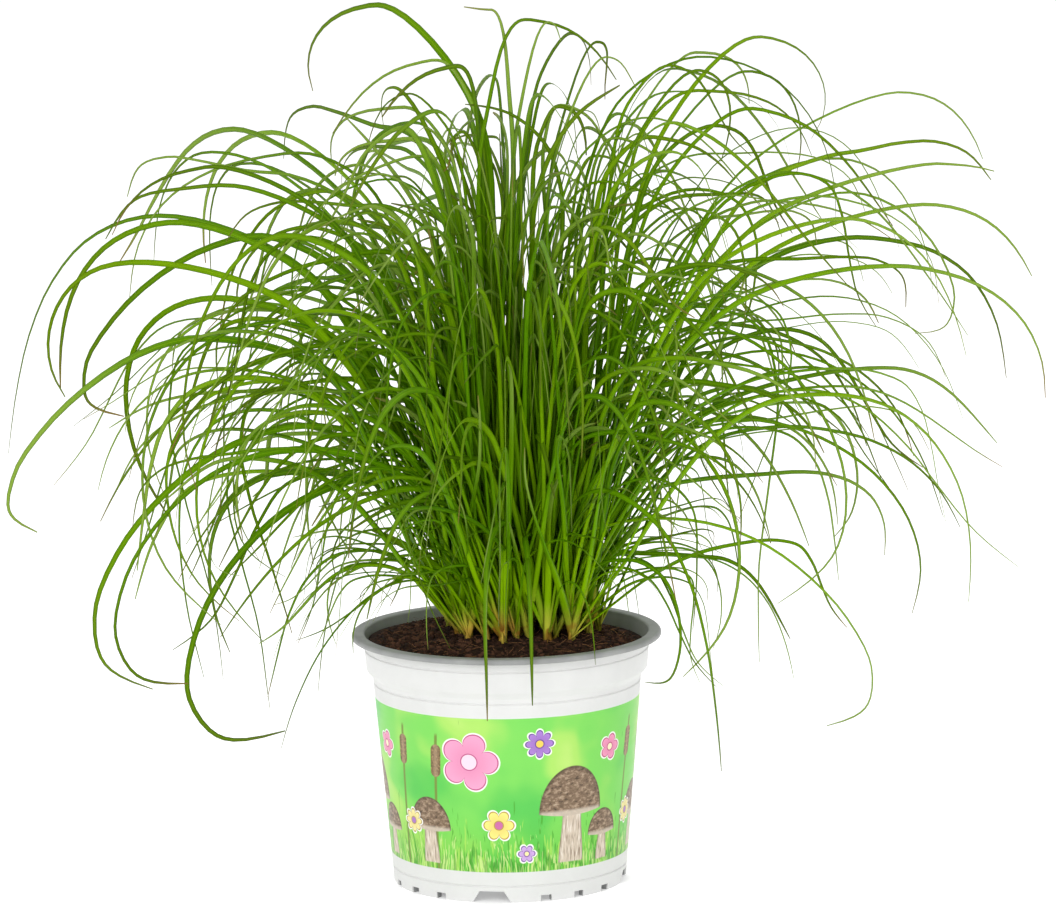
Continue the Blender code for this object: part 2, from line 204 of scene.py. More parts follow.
def endTree(tree, shape, material):  # smooth, with no instances left, in its material
    smooth = shapeNode(tree, "SetShadeSmooth", {"Geometry": shape})
    real = shapeNode(tree, "RealizeInstances", {"Geometry": smooth})
    done = shapeNode(tree, "SetMaterial", {"Geometry": real, "Material": material})
    tree.links.new(done, tree.nodes.new("NodeGroupOutput").inputs[0])


def grow(piece, tree, values):  # the tree's result becomes the piece's mesh
    modifier = piece.modifiers.new(tree.name, "NODES")
    modifier.node_group = tree
    for item in tree.interface.items_tree:
        if item.in_out == "INPUT" and item.name in values:
            modifier[item.identifier] = values[item.name]
    settle(piece)


def settle(piece):  # its modifiers are applied
    bpy.context.view_layer.update()
    depsgraph = bpy.context.evaluated_depsgraph_get()
    mesh = bpy.data.meshes.new_from_object(
        piece.evaluated_get(depsgraph), preserve_all_data_layers=True, depsgraph=depsgraph
    )
    piece.modifiers.clear()
    before = piece.data
    piece.data = mesh
    bpy.data.meshes.remove(before)


def newPiece(name, mesh):
    piece = bpy.data.objects.new(name, mesh)
    bpy.context.scene.collection.objects.link(piece)
    return piece


def fromBmesh(name, mesh):
    data = bpy.data.meshes.new(name)
    mesh.to_mesh(data)
    mesh.free()
    return newPiece(name, data)


# camera: at the photograph's height and angle

cameraView = {
    "aim": (0.0094, 0.0, 0.1669),  # metres
    "distance": 3.0,
    "pitch": 9.78,  # degrees down
    "roll": -0.0150,  # radians
    "lens": 264.9,  # mm
    "sensor": 36.0,
    "farEnd": 50.0,  # metres
}


def makeCamera():
    pitch = radians(cameraView["pitch"])
    roll = cameraView["roll"]
    ahead = Vector((0, cos(pitch), -sin(pitch)))
    level = Vector((1, 0, 0))
    upright = Vector((0, sin(pitch), cos(pitch)))
    right = level * cos(roll) + upright * sin(roll)
    up = upright * cos(roll) - level * sin(roll)
    data = bpy.data.cameras.new("camera")
    data.lens = cameraView["lens"]
    data.sensor_width = cameraView["sensor"]
    data.clip_end = cameraView["farEnd"]
    camera = newPiece("camera", data)
    place = Vector(cameraView["aim"]) - ahead * cameraView["distance"]
    turn = Matrix((right, up, -ahead)).transposed().to_4x4()
    camera.matrix_world = Matrix.Translation(place) @ turn
    bpy.context.scene.camera = camera


makeCamera()
print("camera placed")


# pot: turned wall with a stepped collar, a rolled rim and a notched foot

pot = {
    "rimRadius": 60.0,  # all in mm
    "rimHeight": 98.1,
    "rimDepth": 2.2,
    "rimRounding": (1.2, 0.6),  # of its outer edge, above and below
    "rimInnerRadius": 54.9,
    "lipRounding": 1.0,  # of the rim's inner edge
    "creaseRounding": 0.5,  # under the rim
    "collarTopRadius": 55.5,
    "collarFootRadius": 54.5,
    "collarFootHeight": 83.5,
    "stepHeight": 2.2,
    "bodyTopRadius": 52.1,
    "footRadius": 45.0,
    "footBevel": 0.3,
    "wall": 1.2,
    "floor": 1.5,
    "floorRounding": 2.0,  # inside, where it meets the wall
    "footRing": 3.0,
    "footRecess": 3.9,
    "lines": (92.0, 79.0, 6.5),  # heights of the fine lines round the outside
    "lineDepth": 0.4,
    "lineWidth": 0.9,
    "sides": 216,
    "wideNotches": (-99, -9, 81, 171),  # degrees
    "wideNotch": (17.5, 9.4, 4.6),  # width at the foot, width at its top, height
    "smallNotch": (4.7, 4.3, 2.6),
    "smallSteps": (27, 45, 63),  # degrees from each wide notch
    "cutBeyond": 2.0,  # how far the cutters reach past the foot ring
    "holes": 8,
    "holeRadius": 4.0,
    "holeCircle": 34.0,
    "holeSides": 32,
    "sharpFrom": 32.0,  # degrees between faces at a sharp edge
}
stepFoot = pot["collarFootHeight"] - pot["stepHeight"]
rimFoot = pot["rimHeight"] - pot["rimDepth"]


def heading(turn):
    return Vector((cos(turn), sin(turn), 0))


def arc(centre, radius, start, end, steps):  # points of a round stretch, angles in degrees
    turns = [radians(start + (end - start) * step / steps) for step in range(steps + 1)]
    return [(centre[0] + radius * cos(turn), centre[1] + radius * sin(turn)) for turn in turns]


def outerRadius(height):  # the pot's outside below its rim
    p = pot
    if height <= stepFoot:
        return p["footRadius"] + (p["bodyTopRadius"] - p["footRadius"]) * height / stepFoot
    share = (height - p["collarFootHeight"]) / (rimFoot - p["collarFootHeight"])
    return p["collarFootRadius"] + (p["collarTopRadius"] - p["collarFootRadius"]) * share


def fineLine(height):  # a shallow round groove, from its upper edge down
    points = []
    for step in (1, 0.5, 0, -0.5, -1):
        here = height + step * pot["lineWidth"] / 2
        points.append((outerRadius(here) - pot["lineDepth"] * cos(radians(90 * step)), here))
    return points


def potProfile():  # radius and height, from the floor's middle over the rim to the foot
    p = pot
    top, stepTop, foot, body = p["rimHeight"], p["collarFootHeight"], p["footRadius"], p["bodyTopRadius"]
    collarFoot, collarTop, wall = p["collarFootRadius"], p["collarTopRadius"], p["wall"]
    recess, corner, inner, lip = p["footRecess"], p["floorRounding"], p["rimInnerRadius"], p["lipRounding"]
    bevel, crease = p["footBevel"], p["creaseRounding"]
    floor = recess + p["floor"]
    flat = foot - 2 * wall - corner
    above, below = p["rimRounding"]
    upperLine, middleLine, lowerLine = (fineLine(height) for height in p["lines"])
    profile = [
        (0, floor), (flat, floor),
        *arc((flat, floor + corner), corner, -90, -5, 5),
        (body - wall, stepFoot), (collarFoot - wall, stepTop),
        (collarTop - wall, rimFoot), (inner, top - lip),
        *arc((inner + lip, top - lip), lip, 170, 95, 5),
        *arc((p["rimRadius"] - above, top - above), above, 88, 0, 8),
        *arc((p["rimRadius"] - below, rimFoot + below), below, -5, -90, 5),
        *arc((collarTop + crease, rimFoot - crease), crease, 90, 180, 3),
        *upperLine,
        (collarFoot, stepTop + 0.5), (collarFoot - 0.4, stepTop - 0.1),  # the step's softened edges
        (body + 0.2, stepFoot + 0.2), (body - 0.03, stepFoot - 0.3),
        *middleLine, *lowerLine,
        (foot + 0.03, bevel), (foot - bevel, 0), (foot - p["footRing"], 0),
        (foot - p["footRing"], recess), (0, recess),
    ]
    return [(radius * mm, height * mm) for radius, height in profile]


def notchCutter():  # every notch of the foot, narrower at its top
    mesh = bmesh.new()
    beyond = pot["cutBeyond"]
    inner = pot["footRadius"] - pot["footRing"] - beyond
    outer = pot["footRadius"] + beyond
    for wide in pot["wideNotches"]:
        cuts = [(wide, pot["wideNotch"])] + [(wide + step, pot["smallNotch"]) for step in pot["smallSteps"]]
        for angle, (foot, top, height) in cuts:
            turn = radians(angle - 90)
            out = heading(turn)
            across = Vector((-sin(turn), cos(turn), 0))
            for vert in bmesh.ops.create_cube(mesh, size=1)["verts"]:
                half = (top if vert.co.z > 0 else foot) / 2
                side = across * (half if vert.co.y > 0 else -half)
                level = height if vert.co.z > 0 else -beyond
                vert.co = (out * (outer if vert.co.x > 0 else inner) + side + Vector((0, 0, level))) * mm
    return fromBmesh("notches", mesh)


def holeCutter():
    mesh = bmesh.new()
    radius = pot["holeRadius"] * mm
    depth = 3 * pot["floor"] * mm
    size = {"segments": pot["holeSides"], "radius1": radius, "radius2": radius, "depth": depth}
    for number in range(pot["holes"]):
        turn = tau * number / pot["holes"]
        hole = bmesh.ops.create_cone(mesh, cap_ends=True, **size)["verts"]
        level = pot["footRecess"] + pot["floor"] / 2
        place = Vector((pot["holeCircle"] * cos(turn), pot["holeCircle"] * sin(turn), level)) * mm
        bmesh.ops.translate(mesh, verts=hole, vec=place)
    return fromBmesh("holes", mesh)


# print round the pot: a soft meadow with reeds, mushrooms and simple flowers

label = {
    "bottom": 12.2,  # mm above the foot
    "top": 73.4,
    "edge": 0.12,  # mm over which it begins and ends
    "radius": 49.0,  # its mean, which turns an angle into mm round the pot
    "repeat": 102.6,  # the print comes three times round
    "flowers": (  # place round the pot, height, radius, petals, petal colour, edge colour, heart
        (-15, 56, 11.5, 5, rgb(246, 168, 200), rgb(190, 74, 128), rgb(252, 222, 232)),
        (12, 63, 5.6, 8, rgb(176, 132, 210), rgb(100, 66, 146), rgb(250, 214, 92)),
        (-4, 31, 6.2, 6, rgb(250, 238, 130), rgb(184, 152, 62), rgb(206, 110, 166)),
        (44, 58, 5.2, 5, rgb(244, 158, 190), rgb(186, 72, 116), rgb(255, 244, 200)),
        (-43, 30, 4.8, 8, rgb(250, 240, 160), rgb(176, 150, 80), rgb(172, 124, 200)),
        (7, 19.5, 3.6, 6, rgb(214, 178, 230), rgb(128, 92, 166), rgb(255, 240, 170)),
    ),
    "mushrooms": (  # place round the pot, height of the foot, height, half width of the cap
        (26, 15, 38, 14),
        (42, 14, 20, 8),
        (-34, 14.5, 26, 10),
    ),
    "reeds": (  # place round the pot, height of the head's foot, its length, its half width
        (-31, 49, 13, 2.2),
        (-48, 52, 12, 2.1),
    ),
    "grass": (  # scale, shift of the pattern, colour, strength, height
        (1.15, 3.1, rgb(74, 166, 40), 0.75, 34),
        (0.80, 1.7, rgb(168, 226, 92), 0.80, 30),
        (1.55, 8.4, rgb(216, 240, 150), 0.70, 24),
        (1.05, 5.6, rgb(52, 140, 34), 0.55, 22),
    ),
    "shade": rgb(244, 241, 247),  # over all of it
}


def paintFlower(paint, across, up, flower):
    x, y, radius, petals, petal, edge, heart = flower
    side = minus(across, x)
    rise = minus(up, y)
    reach = distance(side, rise)
    turn = calc("ARCTAN2", rise, side)
    wave = calc("ABSOLUTE", calc("COSINE", times(turn, petals / 2)))
    rim = calc("MULTIPLY_ADD", calc("POWER", wave, 0.6), 0.42 * radius, 0.58 * radius)
    inward = minus(rim, reach)  # mm inside the petals' edge
    centre = minus(0.27 * radius, reach)
    shade = blend(span(reach, 0.2 * radius, radius), edge, petal)
    return coat(
        paint,
        (span(inward, -0.75, -0.5), rgb(250, 252, 240)),  # a white border
        (span(inward, -0.1, 0.1), edge),
        (span(inward, 0.35, 0.6), blend(0.75, shade, petal)),
        (span(centre, -0.4, -0.2), edge),
        (span(centre, 0.0, 0.2), heart),
    )


def paintReed(paint, across, up, reed):
    x, y, length, half = reed
    lean = times(calc("POWER", times(up, 0.02), 2.0), 1.6)
    side = calc("ABSOLUTE", minus(minus(across, x), lean))
    stalk = times(span(side, 0.75, 0.45), span(up, y + length + 5, y + length + 3))
    middle = calc("ABSOLUTE", minus(up, y + length / 2))
    beyond = calc("MAXIMUM", minus(middle, length / 2 - half), 0)
    grain = noise(combine(across, up), 1.1, 3.0)
    brown = ramp(grain, (0.3, 72, 58, 40), (0.5, 122, 96, 62), (0.7, 176, 146, 100))
    brown = blend(span(side, 0, half, 0.35, 0.0), brown, rgb(214, 190, 150))
    head = span(distance(side, beyond), half + 0.25, half - 0.25)
    return coat(paint, (stalk, rgb(122, 150, 62)), (head, brown))


def paintMushroom(paint, across, up, mushroom):
    x, foot, height, half = mushroom
    place = combine(across, up)
    reach = calc("ABSOLUTE", minus(across, x))
    brim = foot + 0.52 * height
    stalk = 0.30 * half
    edge = minus(span(up, foot, brim, stalk * 1.35, stalk), reach)
    long = times(span(up, foot - 0.3, foot + 0.3), span(up, brim + 0.5, brim))
    inStalk = times(span(edge, -0.15, 0.15), long)
    fibre = noise(vector("MULTIPLY", place, (1.0, 0.12, 1.0)), 1.6)
    cream = ramp(fibre, (0.32, 150, 132, 112), (0.5, 214, 200, 176), (0.68, 240, 232, 214))
    cream = blend(span(edge, 0.8, 0.0, 0.0, 0.6), cream, rgb(120, 104, 84))
    rise = minus(up, brim)
    aside = calc("POWER", calc("DIVIDE", reach, half), 2.0)
    above = calc("POWER", calc("DIVIDE", calc("MAXIMUM", rise, 0), foot + height - brim), 2.0)
    dome = plus(aside, above)  # 1 at the cap's outline
    under = times(minus(1.0, calc("MINIMUM", dome, 1.0)), 0.10 * half)
    inCap = times(span(dome, 1.03, 0.98), span(plus(rise, under), -0.15, 0.15))
    grain = noise(vector("MULTIPLY", place, (1.0, 1.6, 1.0)), 0.45, 4.0, 0.65)
    brown = coat(
        ramp(grain, (0.32, 66, 56, 44), (0.48, 128, 106, 82), (0.6, 170, 148, 120), (0.74, 222, 208, 184)),
        (span(rise, 1.6, 0.0, 0.0, 0.7), rgb(226, 214, 192)),
        (span(dome, 0.80, 1.0, 0.0, 0.65), rgb(74, 60, 44)),
    )
    return coat(paint, (inStalk, cream), (inCap, brown))


def paintMeadow(turn, up):  # taken on a cylinder, so that it meets itself at the back
    bottom = label["bottom"]
    ahead = times(calc("COSINE", turn), label["radius"])
    aside = times(calc("SINE", turn), label["radius"])
    place = combine(aside, up, ahead)
    greens = ((0.30, 92, 205, 84), (0.48, 128, 222, 92), (0.62, 176, 232, 104), (0.75, 206, 240, 130))
    paint = ramp(noise(place, 0.032), *greens)
    lift = span(up, bottom, bottom + 26)
    paint = blend(times(minus(1.0, lift), 0.55), paint, rgb(104, 196, 52))
    streaks = vector("MULTIPLY", place, (1.0, 0.10, 1.0))
    for scale, shift, colour, most, reach in label["grass"]:
        sway = times(noise(place, 0.05, 1.0, 0.5, shift), 5.0)
        grain = noise(vector("ADD", streaks, combine(sway, 0.0, sway)), scale, 1.0, 0.5, shift)
        height = span(up, bottom + 2, bottom + reach, 0.50, 0.78, smooth=False)
        mask = span(minus(grain, height), 0.0, 0.05)
        paint = blend(times(mask, most), paint, colour)
    return paint


def makePotMaterial():
    material, tree, shader = newMaterial("potPlastic", Roughness=0.34, Specular_IOR_Level=0.3)
    place = objectPlace(tree)
    x, y, z = separate(place)
    radius = times(distance(x, y), 1000)  # in mm, as up is
    up = times(z, 1000)
    turn = calc("ARCTAN2", x, times(y, -1))  # 0 at the front
    across = times(turn, label["radius"])
    p = pot
    stepTop = p["collarFootHeight"]
    wall = span(up, 0, stepFoot, p["footRadius"], p["bodyTopRadius"], smooth=False)
    collar = span(up, stepFoot, stepTop, 0, p["collarFootRadius"] - p["bodyTopRadius"], smooth=False)
    flare = span(up, stepTop, rimFoot, 0, p["collarTopRadius"] - p["collarFootRadius"], smooth=False)
    outside = plus(plus(wall, collar), flare)
    inner = calc("LESS_THAN", radius, minus(outside, 0.62))
    rim = calc("GREATER_THAN", up, rimFoot - 0.1)
    grey = calc("MAXIMUM", inner, rim)

    cloud = noise(place, 90.0, 3.0, 0.55)
    white = ramp(cloud, (0.35, 215, 215, 214), (0.65, 218, 218, 217))
    white = blend(span(noise(place, 900.0, 1.0), 0.74, 0.80, 0.0, 0.35), white, rgb(206, 200, 190))
    dull = ramp(cloud, (0.3, 140, 141, 141), (0.7, 156, 157, 156))

    around = calc("WRAP", across, label["repeat"] / 2, -label["repeat"] / 2)
    paint = paintMeadow(turn, up)
    kinds = (("reeds", paintReed), ("mushrooms", paintMushroom), ("flowers", paintFlower))
    for kind, draw in kinds:
        for shape in label[kind]:
            paint = draw(paint, around, up, shape)
    paint = blend(1.0, paint, label["shade"], "MULTIPLY")
    bottom, top, edge = label["bottom"], label["top"], label["edge"]
    band = times(span(up, bottom - edge, bottom + edge), span(up, top + edge, top - edge))
    colour = blend(band, white, paint)
    feed(shader.inputs["Base Color"], blend(grey, colour, dull))
    scuffs = noise(vector("MULTIPLY", place, (1.0, 1.0, 6.0)), 60.0, 3.0)
    rough = plus(span(scuffs, 0.3, 0.7, 0.33, 0.38), times(grey, 0.12))
    feed(shader.inputs["Roughness"], rough)
    bump(shader, noise(place, 1400.0), 0.00002, 0.3)
    return material


def makePot():
    mesh = bmesh.new()
    verts = [mesh.verts.new((radius, 0, height)) for radius, height in potProfile()]
    for start, end in zip(verts, verts[1:]):
        mesh.edges.new((start, end))
    piece = fromBmesh("nurseryPot", mesh)
    screw = piece.modifiers.new("turn", "SCREW")
    screw.steps = screw.render_steps = pot["sides"]
    screw.use_merge_vertices = True
    screw.merge_threshold = 0.00002
    cutters = [notchCutter(), holeCutter()]
    for cutter in cutters:
        cut = piece.modifiers.new(cutter.name, "BOOLEAN")
        cut.operation = "DIFFERENCE"
        cut.solver = "EXACT"
        cut.object = cutter
    settle(piece)
    for cutter in cutters:
        bpy.data.objects.remove(cutter)
    piece.data.shade_smooth()
    piece.data.set_sharp_from_angle(angle=radians(pot["sharpFrom"]))
    piece.data.materials.clear()
    piece.data.materials.append(makePotMaterial())
    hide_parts("pot")
    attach(piece, "root")


makePot()
print("pot turned, cut and printed")


# soil: a domed bed of peat with crumbs and fibres

peat = {
    "radius": 53.6,  # mm
    "edgeHeight": 92.5,
    "topHeight": 99.0,
    "heap": 2.4,  # mm that it lies higher at its left edge
    "wallRoom": (1.5, 2.7, 0.3),  # mm in from the pot's outside, at collar and foot, and above its floor
    "rings": 34,
    "spokes": 132,
    "calmRings": 3,  # at the edge, over which the lumps die away
    "roughness": 0.8,  # mm, the lumps' height
    "grit": 0.35,  # share of it that a lump has, and the grit on it
    "lumps": 160,
    "lumpSpread": 60,  # mm either way from the middle
    "lumpSize": (4, 12),  # mm
    "crumbs": 420000.0,  # for each square metre
    "crumbSize": 0.00072,  # metres
    "fibres": 90000.0,
    "fibreLength": 0.0065,
    "seed": 4,
}


def soilHeight(radius):  # metres in and out
    share = radius / (peat["radius"] * mm)
    return (peat["edgeHeight"] + (peat["topHeight"] - peat["edgeHeight"]) * (1 - share * share)) * mm


def makePeatMaterial():
    material, tree, shader = newMaterial("peat", Roughness=0.93, Specular_IOR_Level=0.18)
    place = objectPlace(tree)
    tone, straw = attributes(tree, "tone", "straw")
    lump = noise(place, 260.0, 5.0, 0.62)
    colour = coat(
        ramp(lump, (0.30, 16, 8, 5), (0.45, 36, 20, 13), (0.58, 58, 36, 25), (0.75, 92, 64, 46)),
        (span(tone, 0.45, 1.0, 0.0, 0.65), rgb(104, 70, 52)),
        (span(straw, 0.1, 0.9, 0.0, 0.85), rgb(178, 128, 86)),
    )
    feed(shader.inputs["Base Color"], colour)
    grain = noise(place, 1500.0, 4.0, 0.7)
    bump(shader, plus(grain, times(lump, 1.5)), 0.0003, 0.9)
    return material


def randomSize(tree, least, most, seed):
    return addNode(tree, "FunctionNodeRandomValue", {2: least, 3: most, "Seed": seed}).outputs[1]


def randomVector(tree, least, most, seed):
    inputs = {0: least, 1: most, "Seed": seed}
    return addNode(tree, "FunctionNodeRandomValue", inputs, data_type="FLOAT_VECTOR").outputs[0]


def crumbShape(tree):  # a ragged grain
    grain = shapeNode(tree, "MeshIcoSphere", {"Radius": 1.0, "Subdivisions": 1})
    ragged = noise(position(tree), 1.3, output="Color")
    offset = scaled(vector("SUBTRACT", ragged, (0.5, 0.5, 0.5)), 1.3)
    return shapeNode(tree, "SetPosition", {"Geometry": grain, "Offset": offset})


def fibreShape(tree):  # a bent thread, 1 long
    bend = {
        "Resolution": 5, "Start": (-0.5, 0, 0), "Start Handle": (-0.2, 0.25, 0.12),
        "End Handle": (0.2, -0.22, 0.1), "End": (0.5, 0.05, 0),
    }
    path = shapeNode(tree, "CurvePrimitiveBezierSegment", bend)
    section = shapeNode(tree, "CurvePrimitiveCircle", {"Resolution": 3, "Radius": 0.018})
    inputs = {"Curve": path, "Profile Curve": section, "Fill Caps": True}
    return shapeNode(tree, "CurveToMesh", inputs)


def peatTree(material):  # scatters crumbs and fibres over the bed's top
    tree, given = newTree("peatScatter", "Crumbs", "Crumb size", "Fibres", "Fibre length", "Seed")
    normal = shapeNode(tree, "InputNormal")
    upward = calc("GREATER_THAN", vector("DOT_PRODUCT", normal, (0, 0, 1)), 0.5)
    x, y, _ = separate(position(tree))
    radius = distance(x, y)
    edge = peat["radius"] * mm
    shapes = [given["Geometry"]]
    kinds = (  # density, size, shape, mark, seed's shift, least and most size, where they shrink
        ("Crumbs", "Crumb size", crumbShape, "tone", 0, 0.3, 2.3, 0.86),
        ("Fibres", "Fibre length", fibreShape, "straw", 5, 0.35, 1.25, 0.82),
    )
    for amount, size, makeShape, mark, shift, least, most, calm in kinds:
        seed = plus(given["Seed"], shift)
        inputs = {"Mesh": given["Geometry"], "Selection": upward, "Density": given[amount], "Seed": seed}
        points = shapeNode(tree, "DistributePointsOnFaces", inputs)
        shrink = span(radius, calm * edge, 0.97 * edge, 1.0, 0.12)
        scale = times(given[size], times(randomSize(tree, least, most, seed), shrink))
        stretch = randomVector(tree, (0.7, 0.35, 0.3), (1.6, 1.0, 0.8), seed)
        turn = randomVector(tree, (-0.5, -0.5, 0), (0.5, 0.5, tau), seed)
        rotation = addNode(tree, "FunctionNodeEulerToRotation", {0: turn}).outputs[0]
        shape = makeShape(tree)
        inputs = {"Points": points, "Instance": shape, "Rotation": rotation, "Scale": scaled(stretch, scale)}
        placed = shapeNode(tree, "InstanceOnPoints", inputs)
        inputs = {"Geometry": placed, "Name": mark, "Value": randomSize(tree, 0.0, 1.0, plus(seed, 2))}
        shapes.append(shapeNode(tree, "StoreNamedAttribute", inputs, domain="INSTANCE"))
    joined = addNode(tree, "GeometryNodeJoinGeometry")
    for shape in shapes:
        feed(joined.inputs[0], shape)
    endTree(tree, joined.outputs[0], material)
    return tree


def soilLumps(draw):  # place, size and height of each
    wide = peat["lumpSpread"]
    lumps = []
    for _ in range(peat["lumps"]):
        x, y = draw.uniform(-wide, wide) * mm, draw.uniform(-wide, wide) * mm
        lumps.append((x, y, draw.uniform(*peat["lumpSize"]) * mm, draw.uniform(-1, 1)))
    return lumps


def makeSoil():
    draw = random.Random(peat["seed"])
    lumps = soilLumps(draw)
    grit = peat["grit"]
    turns = [tau * spoke / peat["spokes"] for spoke in range(peat["spokes"])]
    mesh = bmesh.new()
    centre = mesh.verts.new((0, 0, soilHeight(0)))
    rings = []
    for ring in range(1, peat["rings"] + 1):
        radius = peat["radius"] * mm * ring / peat["rings"]
        calm = min(1.0, (peat["rings"] - ring) / peat["calmRings"])
        verts = []
        for turn in turns:
            x, y = radius * cos(turn), radius * sin(turn)
            rise = sum(
                top * np.exp(-((x - cx) ** 2 + (y - cy) ** 2) / size ** 2) for cx, cy, size, top in lumps
            )
            heap = peat["heap"] * mm * max(0, -cos(turn)) * (ring / peat["rings"]) ** 2
            rough = calm * peat["roughness"] * mm * (grit * rise + draw.uniform(-grit, grit))
            verts.append(mesh.verts.new((x, y, soilHeight(radius) + heap + rough)))
        rings.append(verts)
    collarRoom, footRoom, floorRoom = peat["wallRoom"]
    wall = (
        (pot["collarFootRadius"] - collarRoom, pot["collarFootHeight"]),
        (pot["bodyTopRadius"] - collarRoom, stepFoot),
        (pot["footRadius"] - footRoom, pot["footRecess"] + pot["floor"] + floorRoom),
    )
    for radius, height in wall:
        places = [(radius * mm * cos(turn), radius * mm * sin(turn), height * mm) for turn in turns]
        rings.append([mesh.verts.new(place) for place in places])
    for number in range(peat["spokes"]):
        after = (number + 1) % peat["spokes"]
        mesh.faces.new((centre, rings[0][number], rings[0][after]))
        for inner, outer in zip(rings, rings[1:]):
            mesh.faces.new((inner[number], outer[number], outer[after], inner[after]))
    mesh.faces.new(reversed(rings[-1]))
    piece = fromBmesh("peatBed", mesh)
    values = {
        "Crumbs": peat["crumbs"], "Crumb size": peat["crumbSize"],
        "Fibres": peat["fibres"], "Fibre length": peat["fibreLength"], "Seed": peat["seed"],
    }
    grow(piece, peatTree(makePeatMaterial()), values)
    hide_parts("soil")
    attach(piece, "root")
    print("soil spread:", len(piece.data.polygons), "faces")


makeSoil()


# shoots: each solid's own leaves, finely drawn, and the slender ones between them

tuft = {
    "centre": (0.006, 0.004),  # metres
    "stemHeight": 14.0,  # mm
    "rootDepth": 3.0,  # mm of each leaf in the soil
    "points": 42,  # along each leaf
    "sides": 6,  # round each leaf
    "leadWidths": (2.2, 3.4),  # mm, narrowest and widest of the shoots' main leaves
    "widths": (1.3, 3.0),
    "edgeWidths": (1.0, 1.8),  # of the leaves in edgeLeaves
    "sideWidth": (0.9, 0.2),  # a solid's leaf is this much of its width, and more on the left
    "sideTwist": (0.4, 0.7),  # and turns this much, and more at the sides
    "ownWave": 0.4,  # and waves this much
    "fillers": 9.0,  # more leaves for each shoot
    "leftward": 2.5,  # and this many more on the left, fewer on the right
    "fringeFrom": 14.0,  # mm from the middle to the shoots that have low leaves
    "fringe": (0.8, 0.1),  # how many each of them has, and how many more on the left
    "fringeReach": (100, 300),  # mm, like a main leaf's arch: out and up
    "fan": 1.2,  # mm, half of a shoot's row of leaves at the soil
    "crown": 337.0,  # mm, the tuft's top, and how much it falls for each mm out
    "crownFall": 0.46,
    "crownTilt": 0.22,  # how much more it falls on the left, and less on the right
    "ownHeight": 0.4,  # how much a shoot's own height counts beside the tuft's
    "reachLeast": 100.0,  # mm that an upright shoot's other leaves may reach out
    "boxRoom": (30, 2),  # mm that arch tops and tips stay inside the solids' box
    "least": (12, 30, 125),  # mm: a tip's way out and its height, and an arch's height
    "lean": (0.62, 1.0),  # how much of its arch's lean a leaf has at its foot
    "sheath": (30.0, 80.0),  # mm of folded, widened foot
    "rimRoom": (50.0, 66.0, 1.5),  # mm: leaves rise inside one, then stay outside the other or this far above
    "tries": 30,
    "sheathWidth": 1.25,
    "thickness": 0.18,  # of the half width
    "taper": ((0.0, 0.72), (0.30, 1.0), (0.62, 0.86), (0.84, 0.62), (0.95, 0.38), (1.0, 0.16)),  # its width
    "twist": (0.7, 1.9),  # radians that a leaf turns, either way
    "fold": (0.45, 0.95),
    "fullTone": 2.6,  # mm: leaves under 0.8 of this are darker
    "waveSize": 0.0035,  # metres
    "waveScale": 16.0,
    "seed": 21,
}
tuftAxis = Vector((*tuft["centre"], 0))

# the leaves between the main ones: share of all, how far out their arch tops out beside the main leaf's,
# their top beside the tuft's, how far their tip is beyond and below it (mm), where it points, how far they
# turn from the main leaf (degrees), width (mm)
leafKinds = (
    (0.34, (0.45, 0.95), (0.66, 1.0), (25, 90), (8, 75), (-105, -20), 26, (1.1, 2.6)),
    (0.06, (0.40, 0.92), (0.62, 0.92), (-5, 40), (70, 150), (-160, -75), 28, (1.0, 2.0)),
    (0.20, (0.10, 0.60), (0.58, 1.02), (6, 44), (2, 36), (-100, -10), 52, (1.5, 3.3)),
    (0.25, (0.12, 0.52), (0.52, 0.94), (2, 16), (-16, -4), (5, 75), 42, (2.2, 3.9)),
    (0.07, (0.25, 0.75), (0.36, 0.58), (15, 70), (4, 44), (-95, -5), 34, (0.9, 1.8)),
    (0.04, (0.20, 0.55), (0.45, 0.75), (30, 90), (-4, 26), (-70, 0), 120, (0.9, 1.9)),
)

# the low leaves over the rim, in the same order
lowKinds = ((1, (0.40, 0.80), (0.36, 0.48), (8, 40), (4, 40), (-130, -20), 26, (0.7, 1.4)),)

# thin leaves at the tuft's edge: direction (0 is +X, 90 the back), how far out and up their arch tops out,
# where their tip hangs (mm) and where it points (degrees)
edgeLeaves = (
    (166, (102, 221), (143, 144), -115),
    (154, (91, 155), (139, 119), -75),
    (138, (160, 272), (196, 224), -85),
    (134, (152, 267), (176, 215), -95),
    (235, (59, 300), (63, 290), -140),
    (8, (107, 289), (150, 241), -70),
    (38, (153, 267), (212, 208), -85),
    (-42, (181, 216), (211, 163), -70),
    (-42, (61, 131), (63, 84), -195),
    (-118, (65, 132), (74, 103), -95),
)
edgeFoot = 0.022  # metres from the tuft's middle to an edge leaf's place


def solidLeaves(node):  # each leaf's middle points, stem first, from the solid's three-cornered rings
    mesh = bmesh.new()
    mesh.from_mesh(node.data)
    bmesh.ops.remove_doubles(mesh, verts=mesh.verts, dist=0.00001)
    found = []
    for tip in [vert for vert in mesh.verts if len(vert.link_edges) == 3]:
        layers = [[tip]]
        seen = {tip}
        while True:
            near = {edge.other_vert(vert) for vert in layers[-1] for edge in vert.link_edges} - seen
            if len(near) != 3:
                break
            seen |= near
            layers.append(list(near))
        if len(layers) < 5:  # too short to be a leaf
            continue
        path = [tip.co.copy()]
        for a, b, c in layers[1:-1]:
            left, right = max(((a, b), (b, c), (c, a)), key=lambda pair: (pair[0].co - pair[1].co).length)
            path.append((left.co + right.co) / 2)
        path.append(sum((vert.co for vert in layers[-1]), Vector()) / 3)
        found.append(path[::-1])
    mesh.free()
    return sorted(found, key=len, reverse=True)


